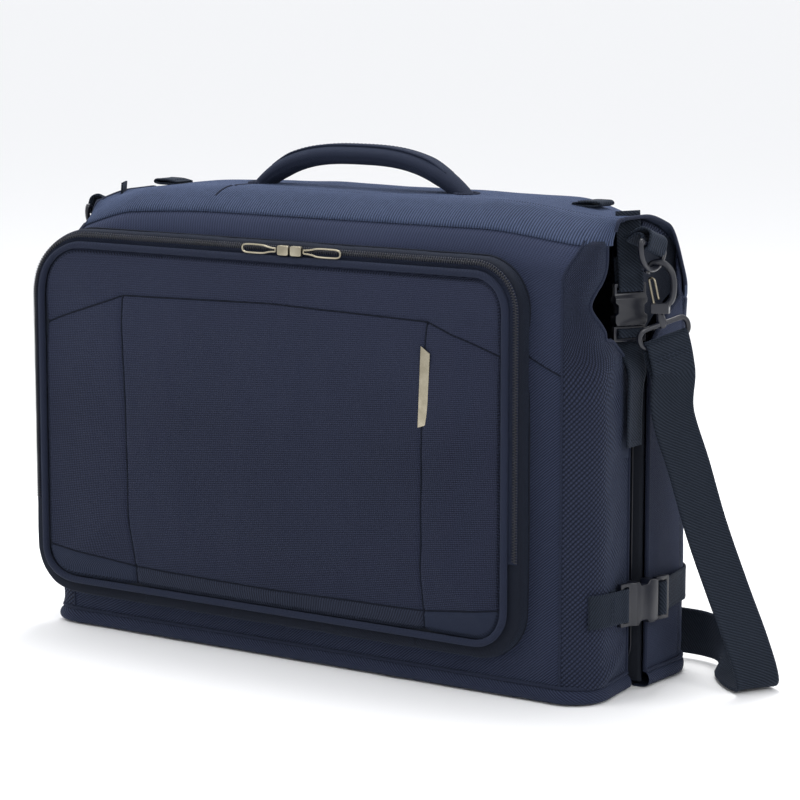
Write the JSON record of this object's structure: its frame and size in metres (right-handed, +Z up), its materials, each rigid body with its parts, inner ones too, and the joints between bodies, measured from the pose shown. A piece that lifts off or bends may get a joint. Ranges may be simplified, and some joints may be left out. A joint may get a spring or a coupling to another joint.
{
  "type": "garment bag",
  "caption": "Bi-fold soft garment bag folded over its spine, with carry handle, zipped front pocket, side-release compression straps and a hooked shoulder strap.",
  "frame": {"origin": "middle of the rear half's base, on the floor", "axes": "+X to the bag's right seen from the front, -Y out of the front pocket, +Z up"},
  "size_m": [0.6823, 0.2301, 0.4392],
  "materials": {
    "cloth": "diagonal twill, matt",
    "smooth_cloth": "smooth twill, matt",
    "webbing": "woven webbing",
    "plastic": "satin moulded acetal",
    "zip": "coil zip on tape",
    "pale_gold": "satin pale gold plating"
  },
  "bodies": {
    "rear_half": {"rear_case": "cloth", "rear_stiffener": "plastic", "hanger_clamp": "plastic", "garment_strap": "webbing", "garment_strap_buckle": "plastic", "lower_strap_rear_right": "webbing", "lower_strap_rear_left": "webbing", "lower_buckle_male_right": "plastic", "lower_buckle_male_left": "plastic"},
    "rear_cover": {"rear_inner_cover": "cloth"},
    "front_half": {"front_case": "cloth", "front_stiffener": "plastic", "pocket_frame": "smooth_cloth", "pocket_zip": "zip", "gusset_patch_right": "cloth", "gusset_patch_left": "cloth", "lower_strap_front_right": "webbing", "lower_strap_front_left": "webbing", "lower_buckle_female_right": "plastic", "lower_buckle_female_left": "plastic"},
    "front_cover": {"front_inner_cover": "cloth"},
    "spine": {"spine_panel": "cloth", "handle_anchor_right": "smooth_cloth", "handle_anchor_left": "smooth_cloth", "top_loop_right": "webbing", "top_loop_left": "webbing", "upper_strap_top_right": "webbing", "upper_strap_top_left": "webbing", "upper_buckle_female_right": "plastic", "upper_buckle_female_left": "plastic"},
    "handle": {"handle_grip": "smooth_cloth", "handle_cap": "smooth_cloth"},
    "pocket_lid": {"pocket_panel": "smooth_cloth", "label_plate": "pale_gold"},
    "shoulder_strap": {"ring_tab_right": "webbing", "ring_tab_left": "webbing", "strap_ring_right": "plastic", "strap_ring_left": "plastic", "shoulder_strap_right": "webbing", "shoulder_strap_back": "webbing", "shoulder_strap_left": "webbing", "strap_adjuster": "plastic"},
    "hanging_hook": {"hanging_hook": "pale_gold"},
    "slider_right": {"slider_right": "pale_gold"},
    "pull_right": {"zip_pull_right": "pale_gold"},
    "d_ring_right": {"d_ring_right": "plastic"},
    "hook_right": {"snap_hook_right": "plastic"},
    "gate_right": {"hook_gate_right": "pale_gold"},
    "upper_male_right": {"upper_buckle_male_right": "plastic", "upper_strap_tail_right": "webbing"},
    "slider_left": {"slider_left": "pale_gold"},
    "pull_left": {"zip_pull_left": "pale_gold"},
    "d_ring_left": {"d_ring_left": "plastic"},
    "hook_left": {"snap_hook_left": "plastic"},
    "gate_left": {"hook_gate_left": "pale_gold"},
    "upper_male_left": {"upper_buckle_male_left": "plastic", "upper_strap_tail_left": "webbing"}
  },
  "joints": [
    {"name": "fold_rear", "type": "hinge", "parent": "rear_half", "child": "spine", "pos_m": [0, 0.043, 0.3375], "axis": [-1, 0, 0], "range_deg": [0, 90]},
    {"name": "fold_front", "type": "hinge", "parent": "spine", "child": "front_half", "pos_m": [0, -0.133, 0.3865], "axis": [-1, 0, 0], "range_deg": [0, 90]},
    {"name": "rear_cover_open", "type": "hinge", "parent": "rear_half", "child": "rear_cover", "pos_m": [0, -0.041, 0.277], "axis": [-1, 0, 0], "range_deg": [0, 90]},
    {"name": "front_cover_open", "type": "hinge", "parent": "front_half", "child": "front_cover", "pos_m": [0, -0.059, 0.247], "axis": [1, 0, 0], "range_deg": [0, 90]},
    {"name": "strap_hang", "type": "hinge", "parent": "spine", "child": "shoulder_strap", "pos_m": [0, -0.066, 0.384], "axis": [1, 0, 0], "range_deg": [0, 90]},
    {"name": "pocket_open", "type": "hinge", "parent": "front_half", "child": "pocket_lid", "pos_m": [0, -0.147, 0.042], "axis": [1, 0, 0], "range_deg": [0, 75]},
    {"name": "handle_tilt", "type": "hinge", "parent": "spine", "child": "handle", "pos_m": [-0.01, -0.045, 0.4072], "axis": [1, 0, 0], "range_deg": [-20, 20]},
    {"name": "slider_right_slide", "type": "slide", "parent": "pocket_lid", "child": "slider_right", "axis": [1, 0, 0], "range_m": [0, 0.15]},
    {"name": "slider_left_slide", "type": "slide", "parent": "pocket_lid", "child": "slider_left", "axis": [-1, 0, 0], "range_m": [0, 0.16]},
    {"name": "pull_right_swing", "type": "hinge", "parent": "slider_right", "child": "pull_right", "pos_m": [0.0052, -0.1526, 0.3575], "axis": [0, 0, -1], "range_deg": [0, 100]},
    {"name": "pull_left_swing", "type": "hinge", "parent": "slider_left", "child": "pull_left", "pos_m": [-0.0242, -0.1526, 0.3575], "axis": [0, 0, 1], "range_deg": [0, 100]},
    {"name": "d_ring_right_swing", "type": "hinge", "parent": "shoulder_strap", "child": "d_ring_right", "pos_m": [0.29, -0.066, 0.3705], "axis": [0, 0.9511, -0.309], "range_deg": [-4, 4]},
    {"name": "hook_right_swivel", "type": "hinge", "parent": "shoulder_strap", "child": "hook_right", "pos_m": [0.2925, -0.0575, 0.316], "axis": [0, 0, 1], "range_deg": [-6, 6]},
    {"name": "gate_right_press", "type": "hinge", "parent": "hook_right", "child": "gate_right", "pos_m": [0.28884, -0.05883, 0.3256], "axis": [-0.342, 0.9397, 0], "range_deg": [0, 25], "stiffness_Nm_per_rad": 0.02},
    {"name": "upper_right_release", "type": "slide", "parent": "spine", "child": "upper_male_right", "axis": [0, 0, -1], "range_m": [0, 0.007]},
    {"name": "d_ring_left_swing", "type": "hinge", "parent": "shoulder_strap", "child": "d_ring_left", "pos_m": [-0.29, -0.066, 0.3705], "axis": [0, 0.9511, -0.309], "range_deg": [-4, 4]},
    {"name": "hook_left_swivel", "type": "hinge", "parent": "shoulder_strap", "child": "hook_left", "pos_m": [-0.2925, -0.0575, 0.316], "axis": [0, 0, 1], "range_deg": [-6, 6]},
    {"name": "gate_left_press", "type": "hinge", "parent": "hook_left", "child": "gate_left", "pos_m": [-0.28884, -0.05883, 0.3256], "axis": [-0.342, -0.9397, 0], "range_deg": [0, 25], "stiffness_Nm_per_rad": 0.02},
    {"name": "upper_left_release", "type": "slide", "parent": "spine", "child": "upper_male_left", "axis": [0, 0, -1], "range_m": [0, 0.007]},
    {"name": "hanging_hook_swing", "type": "hinge", "parent": "rear_half", "child": "hanging_hook", "pos_m": [0, 0.0267, 0.042], "axis": [1, 0, 0], "range_deg": [0, 40]}
  ],
  "couplings": [
    {"joint": "rear_cover_open", "follows": "fold_rear", "ratio": 1},
    {"joint": "front_cover_open", "follows": "fold_front", "ratio": 1},
    {"joint": "strap_hang", "follows": "fold_rear", "ratio": 1}
  ]
}
